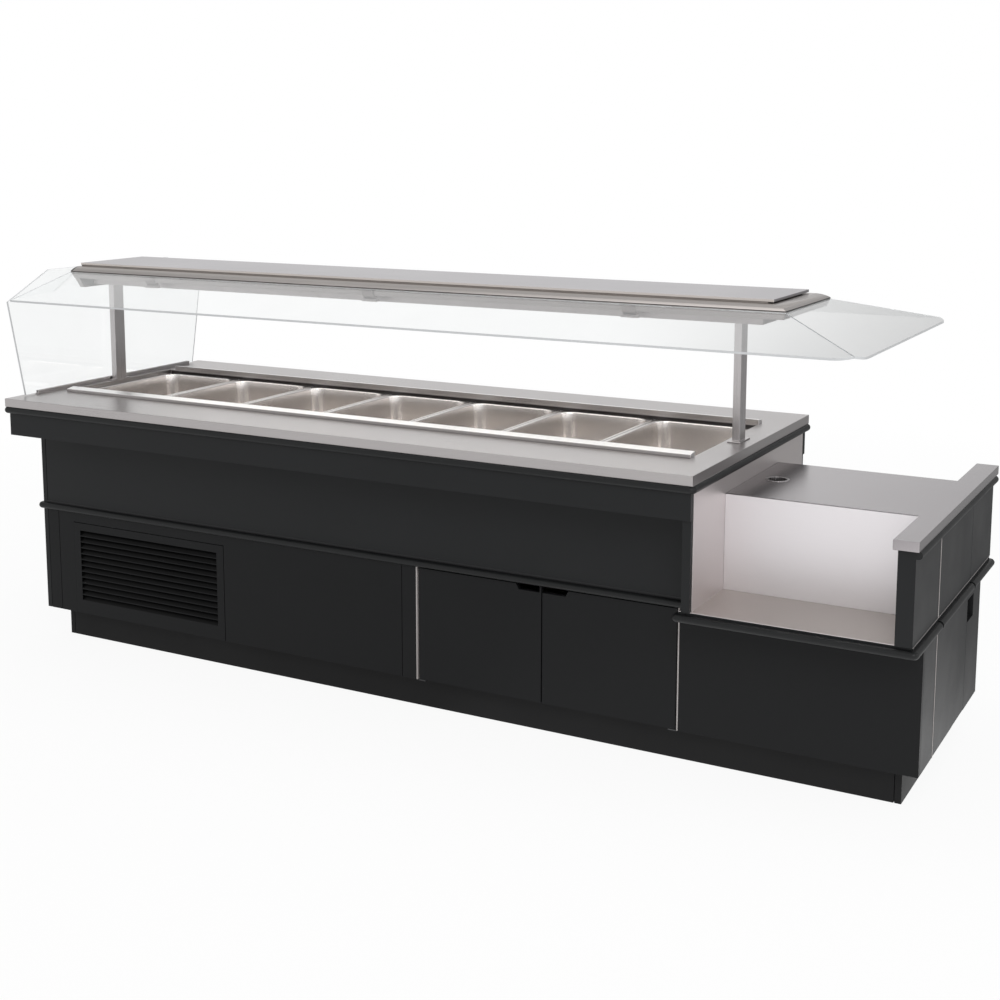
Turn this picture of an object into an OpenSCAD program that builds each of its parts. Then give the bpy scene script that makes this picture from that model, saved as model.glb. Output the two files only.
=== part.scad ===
// Self-service buffet counter: a chilled well for catering pans under a lit canopy with
// glass guards, and a lower module with an open bay in front and behind.
// Frame: X along the counter, customers stand at -Y, Z up, origin under the middle on the floor.

/* [Counter] */
// Overall length over the steel tops
counter_l = 3052; // [3000:1:3200]
// Length of the main top, from the left end
main_l = 2465; // [2460:1:2500]
// Depth of the main top
top_d = 1010; // [980:1:1060]
// Height of the main top
top_h = 867; // [840:1:900]
// Height of the folded rim round the tops
rim_h = 28; // [20:1:34]
// Thickness of the steel sheet
sheet_t = 2; // [1.5:0.5:3]
// Distance from the edge of the tops back to the end faces of the body
end_inset = 10; // [8:1:14]

/* [Body] */
// Depth of the body
body_d = 715; // [690:1:740]
// Thickness of the boards
board_t = 18; // [17:1:20]
// Thickness of the doors
door_t = 16; // [14:1:16]
// Width of an open joint between boards
joint_gap = 2; // [1:0.5:3]
// Height of the plinth
plinth_h = 104; // [90:1:120]
// Setback of the plinth
plinth_set = 53; // [40:1:60]
// Height at which the middle bumper and the lower module's floor start
mid_z = 460; // [440:1:480]
// Thickness of the rail behind the middle bumper and of the module's floor
mid_t = 30; // [26:1:34]
// Width of the rail behind the middle bumper
rail_w = 40; // [36:1:48]
// Setback of the apron from the edge of the main top
apron_set = 11; // [8:1:14]
// Height of the apron's lower edge
apron_z = 742; // [720:1:760]
// Width of the light edge strips
strip_w = 4; // [3:1:6]
// How far the edge strips stand proud
strip_proud = 1; // [0.5:0.5:1.5]

/* [Bumpers] */
// Height of a bumper profile
bumper_h = 22; // [18:1:24]
// How far a bumper stands out
bumper_t = 16; // [14:1:18]

/* [Front] */
// Width of the left corner panel
corner_w = 67; // [60:1:72]
// Distance from the left end of the body to the grille panel
grille_x = 136; // [130:1:150]
// Width of the grille panel
grille_w = 648; // [600:1:680]
// Height of the grille panel
grille_h = 320; // [300:1:330]
// Width of the louvre field
louvre_w = 592; // [560:1:596]
// Height of the louvre field
louvre_h = 250; // [200:1:260]
// Height of the louvre field above the foot of the panel
louvre_z = 44; // [40:1:60]
// Number of louvre blades
louvre_count = 12; // [8:1:14]
// Thickness of a louvre blade
louvre_t = 2; // [1.5:0.5:3]
// Width of the stile left of the doors
stile_w = 50; // [40:1:60]
// Distance from the left end of the body to the first edge strip
strip_x = 1518.5; // [1500:0.5:1530]
// Width of each front door
door_w = 417.2; // [400:0.1:421]
// Open gap between the two front doors
door_mid_gap = 4; // [2:0.5:5]
// Clearance above and below a door
door_gap = 2; // [2:0.5:4]
// Length of a grip cut-out in a front door
grip_l = 82; // [70:1:100]
// Height of a grip cut-out in a front door
grip_h = 17; // [14:1:24]
// Slope of a grip cut-out's closed end
grip_slope = 8; // [4:1:14]
// Width of the edge left beside the left door's cut-out
grip_edge = 5; // [4:1:8]

/* [Lower module] */
// Depth of the module's floor
deck_d = 952; // [920:1:970]
// How far the module's floor reaches under the main top
deck_under = 45; // [38:1:60]
// Height of the worktop
work_h = 765; // [750:1:790]
// Depth of the worktop between the open bays
web_d = 464; // [420:1:500]
// Width of the end arm
arm_w = 65; // [60:1:72]
// Depth of the end arm
arm_d = 1002; // [980:1:1004]
// Height of the worktop's rim
work_rim = 26; // [20:1:30]
// Thickness of the end wall under the main top
fin_t = 26; // [22:1:30]
// Thickness of the steel skin on that wall
skin_t = 1.5; // [1:0.5:2]
// Setback of that skin from the wall's front and rear edges
skin_set = 14; // [10:1:20]
// Setback of that wall from the edge of the main top
fin_set = 8; // [6:1:12]
// Depth of both end walls
fin_d = 970; // [950:1:980]
// Thickness of the module's own end wall
wall_t = 45; // [42:1:50]
// Thickness of the bays' back panels
bay_back_t = 12; // [10:1:16]
// Distance from the end wall to the centre of the round port
port_x = 73; // [65:1:120]
// Radius of the round port
port_r = 27; // [20:1:30]
// Wall of the port's ring
port_wall = 3; // [2:0.5:4]
// Width of the port ring's flange
port_flange = 4; // [3.5:0.5:6]

/* [End door] */
// Distance from the middle of the counter to the front edge of the end door's opening
end_strip_y = 205; // [195:1:215]
// Distance from the middle of the counter to the door's free edge
end_free_y = 180; // [170:1:190]
// Distance from the middle to the upper rear joint
end_joint_y = 200; // [195:1:215]
// Height of the finger recess beside the end door
end_grip_h = 67; // [55:1:80]
// Width of the finger recess beside the end door
end_grip_w = 80; // [45:1:90]
// Height of the recess above the floor
end_grip_z = 366; // [340:1:380]

/* [Well and pans] */
// Number of pans
pan_count = 7; // [7:1:7]
// Width of a pan over its flange
pan_w = 325; // [315:0.5:325]
// Length of a pan over its flange
pan_l = 530; // [500:1:530]
// Depth of a pan
pan_h = 150; // [100:1:180]
// Sheet thickness of a pan
pan_t = 1.5; // [1:0.5:2]
// Flange width of a pan
pan_flange = 9; // [8:0.5:12]
// Inner corner radius of a pan
pan_r = 50; // [20:1:60]
// Corner radius of a pan's flange
pan_flange_r = 9; // [6:1:12]
// Space between two pans
pan_gap = 5; // [4:0.5:5]
// Distance from the left end to the first pan
pan_x = 63.5; // [59.5:0.5:70]
// Depth of the pans' seat below the main top
seat_drop = 15; // [12:1:18]
// Clearance round the row of pans
well_gap = 1.5; // [1:0.5:1.5]
// Extra clearance at the right end of the row of pans
well_gap_r = 6; // [2:0.5:8]
// Extra clearance at the front and back of the pans
well_gap_y = 5; // [4:0.5:6]
// Depth of the tank below the main top
tank_h = 218; // [200:1:240]
// Clearance between a pan's bowl and the tank
tank_gap = 2.5; // [2:0.5:3]
// Thickness of the foam round the tank
foam_t = 20; // [16:1:24]
// Hairline between the tank's welded sheets
seam = 0.1; // [0.05:0.05:0.2]
// Width of a bar between two pans
bar_w = 20; // [16:1:22]
// Height of a bar between two pans
bar_h = 12; // [8:1:16]
// Width of the raised rails along the well
lip_w = 32; // [26:1:36]
// Height of the raised rails at the pans
lip_h = 15; // [10:1:18]
// Distance from the well's left end to the raised rails
lip_set = 22; // [10:1:30]
// How far the raised rails run past the well's right end
lip_over = 3; // [2:1:6]
// Height of the raised rails at the outer edge
lip_low = 10; // [4:1:12]
// Outer radius of the drain spigot
drain_r = 17; // [12:1:20]
// Wall of the drain spigot
drain_wall = 2; // [1.5:0.5:3]
// Length of the drain spigot
drain_l = 45; // [30:1:60]
// Room in the foam round the drain spigot, for the end of its hose
hose_room = 6; // [4:1:10]

/* [Canopy] */
// Height of the canopy's highest face
canopy_h = 1301; // [1270:1:1340]
// Depth of the hood at its widest line
hood_d = 420; // [400:1:440]
// Distance from the left end to the hood
hood_x = 35; // [33:1:40]
// Length of the hood
hood_l = 2573; // [2540:1:2600]
// Height of the hood from its skirt to its flat top
hood_h = 43; // [38:1:50]
// Height of the sloped skirt
skirt_h = 28; // [24:1:30]
// Setback of the skirt's lower edge
skirt_set = 10; // [6:1:14]
// Width of the rounded edge
nose_w = 45; // [40:1:48]
// Thickness of the hood's shell
hood_t = 3; // [2:0.5:4]
// Height of the groove round the hood
groove_h = 1.5; // [1:0.5:2]
// Depth of the groove round the hood
groove_t = 1.5; // [1:0.5:2]
// Depth of the top plate
plate_d = 318; // [300:1:330]
// Setback of the top plate at the left end of the hood
plate_set_l = 2; // [1:0.5:4]
// Setback of the top plate at the right end of the hood
plate_set_r = 51; // [40:1:60]
// Thickness of the top plate
plate_t = 8; // [6:1:10]
// Open gap under the top plate
plate_gap = 3; // [2:1:5]
// Width of the open gap at the right end, from the plate's edge inwards
plate_gap_w = 18; // [12:1:24]
// Width of the gap along the front and the back, from the plate's edge inwards
plate_groove_w = 4; // [3:1:8]
// Depth of the light housing
housing_d = 296; // [280:1:310]
// Height of the light housing below the skirt
housing_h = 23; // [14:1:26]
// Setback of the light housing at the left end of the hood
housing_set_l = 51; // [45:1:60]
// Setback of the light housing at the right end of the hood
housing_set_r = 84; // [70:1:95]
// Thickness of the light diffuser
diffuser_t = 4; // [3:1:5]
// Width of the border round the diffuser
diffuser_edge = 38; // [30:1:46]
// Thickness of the sloped board at the hood's left end
drop_t = 20; // [16:1:24]
// Drop of that board below the skirt
drop_h = 32; // [20:1:36]
// Width of a post, along the counter
post_w = 22; // [18:1:24]
// Depth of a post
post_d = 50; // [44:1:56]
// Wall of a post
post_wall = 2; // [1.5:0.5:3]
// Distance from the left end to the left post
post_l_x = 50; // [49:0.5:51]
// Distance from the main top's right edge to the right post
post_r_x = 55; // [46:1:60]
// Width of the right post's foot plate
foot_w = 40; // [34:1:46]
// Width of the left post's foot plate
foot_w_l = 23; // [22:1:24]
// Depth of both foot plates
foot_d = 86; // [76:1:96]
// Thickness of both foot plates
foot_t = 4; // [3:1:5]

/* [Glass] */
// Thickness of the guards
guard_t = 6; // [5:1:8]
// Setback of the guards' outer edge from the edge of the main top
guard_set = 15; // [10:1:25]
// Fall of the guards over their reach
guard_fall = 72; // [60:1:85]
// Corner radius of the guards
guard_r = 75; // [50:1:90]
// Open joint at the guards' mitre
guard_gap = 1.5; // [1:0.5:2]
// Height of the guards' upper edge under the hood's flat top
guard_z = 18; // [17:1:20]
// Thickness of the end glass
pane_t = 8; // [6:1:8]
// Width of the end glass at its foot
pane_d = 872; // [840:1:900]
// Setback of the end glass's widest line from the edge of the main top
pane_set = 7; // [4:1:12]
// Width of the end glass at its top
pane_top_d = 612; // [560:1:640]
// Distance from the left end to the end glass
pane_x = 22; // [21:1:22]
// Wall of the channel that holds the end glass
channel_t = 4; // [3:0.5:4]
// Height of the channel
channel_h = 12; // [10:1:16]
// Length of the channel in front of the middle
channel_front = 382; // [350:1:400]
// Length of the channel behind the middle
channel_rear = 410; // [350:1:430]
// Number of clamps on each side of the hood
clamp_count = 3; // [3:1:3]
// Distance from the left end to the middle of the first clamp
clamp_x = 388; // [370:1:410]
// Distance between clamps
clamp_pitch = 879; // [850:1:900]
// Width of a clamp's lip
clamp_w = 54; // [46:1:60]
// Width of a clamp's strap and fold
clamp_strap_w = 42; // [32:1:44]
// Thickness of the strap, from the hood's underside up to the guard
clamp_t = 2; // [1.5:0.5:3]
// Height of the slanted fold below the skirt
clamp_fold = 11; // [8:1:12]
// Run of the fold inwards
clamp_run = 12; // [8:1:14]
// Height of the recess between fold and lip
clamp_recess = 3.5; // [2:0.5:5]
// Height of the lip
clamp_lip_h = 4.5; // [3:0.5:6]
// Reach of the lip in front of the recess
clamp_lip = 8; // [4:1:10]

/* [Plant] */
// Width of the condenser
coil_w = 340; // [300:1:360]
// Height of the condenser
coil_h = 280; // [260:1:300]
// Thickness of the condenser
coil_t = 44; // [36:1:50]
// Radius of the fan
fan_r = 112; // [100:1:118]
// Number of fan blades
fan_blades = 5; // [3:1:7]
// Radius of the fan's hub
hub_r = 26; // [22:1:30]
// Radius of the motor shaft
shaft_r = 4; // [3:0.5:5]
// Radius of the motor
motor_r = 36; // [30:1:40]
// Length of the motor
motor_l = 62; // [50:1:70]
// Running clearance of a shaft or pin in its bore
fit_gap = 0.05; // [0.03:0.01:0.08]
// Radius of the compressor
comp_r = 88; // [75:1:95]
// Height of the compressor's shell
comp_h = 180; // [160:1:220]
// Radius of a hinge pin
pin_r = 4; // [3:0.5:5]
// Depth of a hinge pin in the door
pin_l = 14; // [10:1:18]
// Thickness of a hinge bracket
hinge_t = 3; // [2:0.5:4]
// Length of a control box
control_l = 140; // [120:1:160]
// Height of a control box
control_h = 100; // [90:1:120]
// Depth of a control box
control_t = 58; // [54:1:64]
// Radius of the thermostat knob
knob_r = 17; // [14:1:20]
// Height of the thermostat knob
knob_h = 14; // [10:1:18]

/* [Hidden] */
$fn = 64;
black = [0.05, 0.05, 0.055];
dark = [0.12, 0.13, 0.14];
steel = [0.72, 0.71, 0.71];
light = [0.86, 0.86, 0.87];
clear = [0.85, 0.9, 0.92, 0.35];
// One overrun for every cut, and the gap kept where a piece sits on a curved or sloped seat
over = 1;
seat_gap = 0.3;

// Body planes
left_x = -counter_l / 2;
right_x = counter_l / 2;
main_x = left_x + main_l;
body_l_x = left_x + end_inset;
body_r_x = right_x - end_inset;
body_y = body_d / 2;
in_y = body_y - board_t;
mid_top = mid_z + mid_t;
sheet_z = top_h - sheet_t;
apron_y = top_d / 2 - apron_set;
fin_x = main_x - fin_set;
fin_l_x = fin_x - fin_t;
deck_x = main_x - deck_under;
deck_y = deck_d / 2;
wall_x = body_r_x - wall_t;
arm_x = right_x - arm_w;
work_z = work_h - work_rim;
deck_sheet_z = mid_top - sheet_t;
web_y = web_d / 2;
plinth_y = body_y - plinth_set;
plinth_x0 = body_l_x + plinth_set;
plinth_x1 = body_r_x - plinth_set;
deck_top = plinth_h + board_t;

// Front layout
strip_1 = body_l_x + strip_x;
door_x0 = strip_1 + strip_w + joint_gap;
door_x1 = door_x0 + 2 * door_w + door_mid_gap;
strip_2 = door_x1 + joint_gap;
door_z0 = plinth_h + door_gap;
door_z1 = mid_z - hinge_t - door_gap;
pivot = door_t / 2;
grille_x0 = body_l_x + grille_x;
grille_z1 = plinth_h + grille_h;

// Well
pans_x0 = left_x + pan_x;
pan_pitch = pan_w + pan_gap;
pans_x1 = pans_x0 + pan_count * pan_pitch - pan_gap;
well_x0 = pans_x0 - well_gap;
well_x1 = pans_x1 + well_gap + well_gap_r;
well_y = pan_l / 2 + well_gap_y;
seat_z = top_h - seat_drop;
bowl_w = pan_w - 2 * pan_flange;
bowl_l = pan_l - 2 * pan_flange;
tank_x0 = pans_x0 + pan_flange - tank_gap;
tank_x1 = pans_x1 - pan_flange + tank_gap;
tank_y = bowl_l / 2 + tank_gap;
tank_z = top_h - tank_h;
drain_x = (tank_x0 + tank_x1) / 2;

// Canopy
hood_x0 = left_x + hood_x;
hood_x1 = hood_x0 + hood_l;
hood_top = canopy_h - plate_t - plate_gap;
skirt_z = hood_top - hood_h;
widest_z = skirt_z + skirt_h;
nose_drop = hood_top - widest_z;
nose_r = (nose_w * nose_w + nose_drop * nose_drop) / (2 * nose_drop);
housing_x0 = hood_x0 + housing_set_l;
housing_x1 = hood_x1 - housing_set_r;
housing_z = skirt_z - housing_h;
post_l = left_x + post_l_x;
post_r = main_x - post_r_x;
guard_top = hood_top - guard_z;
guard_seat = seat_gap - skirt_set * (widest_z - guard_top) / skirt_h;
guard_in = hood_d / 2 + guard_seat;
guard_out = top_d / 2 - guard_set;
guard_reach = guard_out - guard_in;
guard_rise = guard_fall / guard_reach;
guard_v = guard_t * sqrt(1 + guard_rise * guard_rise);
guard_x0 = left_x + pane_x + pane_t + joint_gap;
guard_x1 = hood_x1 + guard_seat + guard_reach;
pane_x0 = left_x + pane_x;

// Plant bay
coil_x = grille_x0 + grille_w / 2 - coil_w / 2;
coil_y = -in_y + 2 * joint_gap;
fan_x = coil_x + coil_w / 2;
fan_z = deck_top + coil_h / 2;
shroud_l = 34;
shroud_wall = 2;
fan_y = coil_y + coil_t + shroud_l / 2;
hub_l = 24;
blade_t = 2;
blade_w = 46;
blade_tilt = 28;
shaft_out = 6;
arm_bar_w = 14;
comp_x = grille_x0 + grille_w + 3 * comp_r;
comp_foot_h = 16;
comp_foot_r = 14;
comp_rail_t = 4;
comp_rail_w = 30;
foot_r = 22;
foot_h = 12;
stem_r = 8;
foot_inset = 24;
shelf_share = 0.48;
control_y = -in_y + rail_w;
knob_stem_r = 3;
knob_stem_l = 10;
knob_grip_w = 9;

// A box between two corners
module slab(low, high) {
    translate(low) cube(high - low);
}

// A rounded rectangle about the origin, with true arcs
module round_rect(w, l, r) {
    square([w - 2 * r, l], center = true);
    square([w, l - 2 * r], center = true);
    for (sx = [-1, 1], sy = [-1, 1])
        translate([sx * (w / 2 - r), sy * (l / 2 - r)]) circle(r = r);
}

// The bumper's section: a flat base with a half round face, base on the Y axis
module bumper_section() {
    half = bumper_h / 2;
    square([bumper_t - half, bumper_h]);
    intersection() {
        translate([bumper_t - half, half]) circle(r = half);
        square([bumper_t, bumper_h]);
    }
}

// A straight bumper: its base line runs from the point, along the angle, with its face to the right
module bumper_run(x, y, z, angle, length) {
    translate([x, y, z]) rotate([0, 0, angle])
        mirror([0, 1, 0]) rotate([90, 0, 90]) linear_extrude(length) bumper_section();
}

// A bumper turned round an outer corner of the counter
module bumper_corner(x, y, z, start) {
    translate([x, y, z]) rotate([0, 0, start]) rotate_extrude(angle = 90) bumper_section();
}

// A domed end on a straight bumper whose face looks along +X
module bumper_dome(x, y, z) {
    half = bumper_h / 2;
    translate([x, y, z + half]) rotate([0, 90, 0]) {
        cylinder(r = half, h = bumper_t - half);
        translate([0, 0, bumper_t - half]) difference() {
            sphere(r = half);
            translate([0, 0, -half]) cube([bumper_h, bumper_h, bumper_h], center = true);
        }
    }
}

// A bumper on the +X side between two Y values, domed where asked
module side_bumper(x, y0, y1, z, dome0, dome1) {
    half = bumper_h / 2;
    a = y0 + (dome0 ? half : 0);
    b = y1 - (dome1 ? half : 0);
    bumper_run(x, a, z, 90, b - a);
    if (dome0) bumper_dome(x, a, z);
    if (dome1) bumper_dome(x, b, z);
}

module plinth_boards() {
    color(dark) for (s = [-1, 1]) {
        y = s * (plinth_y - board_t / 2);
        slab([plinth_x0 + board_t + joint_gap, y - board_t / 2, 0],
             [plinth_x1 - board_t - joint_gap, y + board_t / 2, plinth_h]);
        x = s > 0 ? plinth_x1 - board_t : plinth_x0;
        slab([x, -plinth_y, 0], [x + board_t, plinth_y, plinth_h]);
    }
}

module levelling_feet() {
    reach_x = (plinth_x1 - plinth_x0) / 2 - board_t - foot_inset;
    reach_y = plinth_y - board_t - foot_inset;
    color(steel) for (i = [0:3], s = [-1, 1])
        translate([reach_x * (2 * i / 3 - 1), s * reach_y, 0]) {
            cylinder(r = foot_r, h = foot_h);
            cylinder(r = stem_r, h = plinth_h);
        }
}

module bottom_deck() {
    color(dark) slab([body_l_x + board_t, -in_y, plinth_h], [body_r_x - board_t, in_y, deck_top]);
}

module front_lower_panels() {
    corner_x = body_l_x + corner_w;
    stile_x = strip_1 - stile_w;
    color(dark) {
        slab([body_l_x + board_t + joint_gap, -body_y, plinth_h], [corner_x, -in_y, mid_z]);
        difference() {
            slab([corner_x + joint_gap, -body_y, plinth_h], [stile_x - joint_gap, -in_y, mid_z]);
            slab([grille_x0, -body_y - over, plinth_h - over],
                 [grille_x0 + grille_w + joint_gap, -in_y + over, grille_z1 + joint_gap]);
        }
        slab([stile_x, -body_y, plinth_h], [strip_1, -in_y, mid_z]);
        slab([strip_2 + strip_w, -body_y, plinth_h], [body_r_x, -in_y, mid_z]);
    }
}

module grille_panel() {
    x0 = grille_x0 + (grille_w - louvre_w) / 2;
    z0 = plinth_h + louvre_z;
    pitch = louvre_h / louvre_count;
    color(dark) difference() {
        slab([grille_x0, -body_y, plinth_h], [grille_x0 + grille_w, -in_y, grille_z1]);
        slab([x0, -body_y - over, z0], [x0 + louvre_w, -in_y + over, z0 + louvre_h]);
    }
    color(black) for (i = [0:louvre_count - 1])
        translate([x0, -body_y, z0 + i * pitch]) rotate([90, 0, 90]) linear_extrude(louvre_w)
            polygon([[0, 0], [louvre_t, 0], [board_t, pitch - louvre_t], [board_t, pitch],
                     [board_t - louvre_t, pitch], [0, louvre_t]]);
}

module edge_strips() {
    color(light) {
        for (x = [strip_1, strip_2])
            slab([x, -body_y - strip_proud, plinth_h], [x + strip_w, -in_y, mid_z]);
        for (z = [[plinth_h, mid_z], [mid_top, work_z - bumper_h]])
            slab([body_r_x - board_t, -end_strip_y - strip_w / 2, z[0]],
                 [body_r_x + strip_proud, -end_strip_y + strip_w / 2, z[1]]);
    }
}

// A door about its own hinge line, reaching along +X, with a grip cut near its upper free corner
module door_blank(width, grip, edge) {
    height = door_z1 - door_z0;
    difference() {
        linear_extrude(height) {
            translate([0, -pivot]) square([width - pivot, door_t]);
            circle(r = pivot);
        }
        for (z = [-over, height - pin_l - joint_gap])
            translate([0, 0, z]) cylinder(r = pin_r + fit_gap, h = pin_l + joint_gap + over);
        if (grip) translate([width - pivot - grip_l, pivot + over, height - grip_h]) rotate([90, 0, 0])
            linear_extrude(door_t + 2 * over)
                polygon([[grip_slope, 0], [grip_l - edge, 0], [grip_l - edge, grip_h + over],
                         [0, grip_h + over], [0, grip_h]]);
    }
}

module door_left() {
    color(dark) translate([door_x0 + pivot, -body_y + pivot, door_z0]) door_blank(door_w, true, grip_edge);
}

module door_right() {
    color(dark) translate([door_x1 - pivot, -body_y + pivot, door_z0])
        mirror([1, 0, 0]) door_blank(door_w, true, -over);
}

module end_door() {
    y0 = -end_strip_y + strip_w / 2 + joint_gap;
    width = end_free_y - joint_gap / 2 - y0;
    color(dark) translate([body_r_x - pivot, y0 + pivot, door_z0])
        rotate([0, 0, 90]) door_blank(width, false, 0);
}

// Pivot brackets under and over a hinge line, reaching back under the deck along +Y
module hinge_pair() {
    w = 2 * pivot;
    back = board_t + rail_w / 2;
    z_low = plinth_h - hinge_t;
    slab([-pivot, -pivot + joint_gap, z_low], [w, back, plinth_h]);
    translate([0, 0, z_low]) cylinder(r = pin_r, h = hinge_t + door_gap + pin_l);
    slab([-pivot, -pivot + joint_gap, mid_z - hinge_t], [w, back, mid_z]);
    translate([0, 0, door_z1 - pin_l]) cylinder(r = pin_r, h = pin_l + door_gap + hinge_t);
}

module hinge_brackets() {
    y = -body_y + pivot;
    color(steel) {
        translate([door_x0 + pivot, y, 0]) hinge_pair();
        translate([door_x1 - pivot, y, 0]) mirror([1, 0, 0]) hinge_pair();
        translate([body_r_x - pivot, -end_strip_y + strip_w / 2 + joint_gap + pivot, 0])
            rotate([0, 0, 90]) hinge_pair();
    }
}

module back_lower_panel() {
    color(dark) slab([body_l_x + board_t + joint_gap, in_y, plinth_h], [body_r_x, body_y, mid_z]);
}

module end_lower_panels() {
    x0 = body_r_x - board_t;
    grip_y = end_free_y + joint_gap / 2;
    color(dark) {
        slab([body_l_x, -body_y, plinth_h], [body_l_x + board_t, body_y, mid_z]);
        slab([x0, -in_y, plinth_h], [body_r_x, -end_strip_y - strip_w / 2, mid_z]);
        difference() {
            slab([x0, grip_y, plinth_h], [body_r_x, in_y, mid_z]);
            slab([x0 - over, grip_y - over, end_grip_z],
                 [body_r_x + over, grip_y + end_grip_w, end_grip_z + end_grip_h]);
        }
    }
}

module end_upper_panels() {
    y = fin_d / 2;
    s = strip_w / 2;
    color(dark) for (r = [[-end_strip_y + s, end_joint_y], [end_joint_y + joint_gap, y]])
        slab([body_r_x - board_t, r[0], mid_top], [body_r_x, r[1], work_z]);
}

module mid_rails() {
    color(black) {
        for (s = [-1, 1])
            translate([0, s * (body_y - rail_w / 2), 0])
                slab([body_l_x, -rail_w / 2, mid_z], [deck_x, rail_w / 2, mid_top]);
        slab([body_l_x, -body_y + rail_w, mid_z], [body_l_x + rail_w, body_y - rail_w, mid_top]);
    }
}

module module_deck() {
    color(dark) slab([deck_x, -deck_y, mid_z], [body_r_x, deck_y, deck_sheet_z]);
}

// The outline of the wall under the main top: deeper below the apron than behind it
module fin_outline() {
    low = fin_d / 2;
    high = apron_y - board_t;
    polygon([[-low, mid_top], [low, mid_top], [low, apron_z], [high, apron_z], [high, sheet_z],
             [-high, sheet_z], [-high, apron_z], [-low, apron_z]]);
}

module fin_wall() {
    color(dark) translate([fin_l_x, 0, 0]) rotate([90, 0, 90]) linear_extrude(fin_t - skin_t) fin_outline();
}

// The steel sheets on the module's floor and on the wall under the main top
module module_lining() {
    y = fin_d / 2 - skin_set;
    color(steel) {
        slab([deck_x, -deck_y, deck_sheet_z], [body_r_x, deck_y, mid_top]);
        slab([fin_x - skin_t, -y, mid_top], [fin_x, y, sheet_z]);
    }
}

module bay_end_wall() {
    y = fin_d / 2;
    color(dark) {
        slab([wall_x, -y, mid_top], [body_r_x - board_t, y, work_z]);
        slab([wall_x, -y, mid_top], [body_r_x, -end_strip_y - strip_w / 2, work_z]);
    }
}

module bay_back_panels() {
    color(steel) for (y = [-web_y, web_y - bay_back_t]) {
        slab([fin_x, y, mid_top], [wall_x, y + bay_back_t, work_z]);
        slab([fin_x, y, work_z], [arm_x + sheet_t, y + bay_back_t, work_h - sheet_t]);
    }
}

module port_cut(z0, z1) {
    translate([fin_x + port_x, 0, z0 - over])
        cylinder(r = port_r + port_wall + seat_gap, h = z1 - z0 + 2 * over);
}

// The worktop's sheet: flat between the bays, folded down all round the end arm
module worktop() {
    arm_y = arm_d / 2;
    low = work_z - over;
    sheet_low = work_h - sheet_t;
    color(steel) difference() {
        union() {
            slab([fin_x, -web_y, sheet_low], [arm_x + sheet_t, web_y, work_h]);
            slab([arm_x, -arm_y, work_z], [right_x, arm_y, work_h]);
        }
        slab([arm_x + sheet_t, -arm_y + sheet_t, low], [right_x - sheet_t, arm_y - sheet_t, sheet_low]);
        slab([arm_x - over, -web_y, low], [arm_x + 2 * sheet_t, web_y, sheet_low]);
        port_cut(work_z, work_h);
    }
}

module worktop_core() {
    arm_y = arm_d / 2 - sheet_t;
    y = web_y - bay_back_t;
    top = work_h - sheet_t;
    color("burlywood") difference() {
        union() {
            slab([fin_x, -y, work_z], [arm_x + 2 * sheet_t, y, top]);
            slab([arm_x + sheet_t, -arm_y, work_z], [right_x - sheet_t, arm_y, top]);
        }
        port_cut(work_z, work_h);
    }
}

module port_ring() {
    color(steel) translate([fin_x + port_x, 0, 0]) difference() {
        union() {
            translate([0, 0, work_z]) cylinder(r = port_r + port_wall, h = work_rim + skin_t);
            translate([0, 0, work_h]) cylinder(r = port_r + port_wall + port_flange, h = skin_t);
        }
        translate([0, 0, work_z - over]) cylinder(r = port_r, h = work_rim + skin_t + 2 * over);
    }
}

// One apron: the upright board, the soffit behind it and the cap at the left end
module apron_half() {
    back = apron_y - board_t;
    slab([body_l_x, -apron_y, apron_z], [fin_x, -back, sheet_z]);
    slab([body_l_x, -back, apron_z], [fin_l_x, -body_y, apron_z + board_t]);
    slab([body_l_x, -back, apron_z], [body_l_x + board_t, -body_y, sheet_z]);
}

module apron_boards() {
    color(dark) {
        apron_half();
        mirror([0, 1, 0]) apron_half();
    }
}

module upper_body_panels() {
    color(dark) {
        for (s = [-1, 1]) {
            y = s * (body_y - board_t / 2);
            slab([body_l_x + board_t + joint_gap, y - board_t / 2, mid_top],
                 [fin_l_x, y + board_t / 2, sheet_z]);
        }
        slab([body_l_x, -body_y, mid_top], [body_l_x + board_t, body_y, sheet_z]);
    }
}

module counter_top() {
    y = top_d / 2;
    color(steel) difference() {
        union() {
            difference() {
                slab([left_x, -y, top_h - rim_h], [main_x, y, top_h]);
                slab([left_x + sheet_t, -y + sheet_t, top_h - rim_h - over],
                     [main_x - sheet_t, y - sheet_t, sheet_z]);
            }
            slab([well_x0 - sheet_t, -well_y - sheet_t, seat_z],
                 [well_x1 + sheet_t, well_y + sheet_t, sheet_z]);
        }
        slab([well_x0, -well_y, seat_z - over], [well_x1, well_y, top_h + over]);
    }
}

// Bumper pieces round the main top: front and back runs carry the corners
module top_bumper() {
    z = top_h - rim_h - bumper_h;
    color(black) for (s = [0, 1]) mirror([0, s, 0]) {
        bumper_run(body_l_x, -apron_y, z, 0, fin_x - body_l_x);
        bumper_corner(body_l_x, -apron_y, z, 180);
        bumper_corner(fin_x, -apron_y, z, 270);
    }
    color(black) {
        bumper_run(fin_x, -apron_y, z, 90, 2 * apron_y);
        bumper_run(body_l_x, apron_y, z, 270, 2 * apron_y);
    }
}

module mid_bumper() {
    end_x = deck_x - bumper_t - joint_gap;
    color(black) for (s = [0, 1]) mirror([0, s, 0]) {
        bumper_run(body_l_x, -body_y, mid_z, 0, end_x - body_l_x);
        bumper_corner(body_l_x, -body_y, mid_z, 180);
    }
    color(black) bumper_run(body_l_x, body_y, mid_z, 270, body_d);
}

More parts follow.
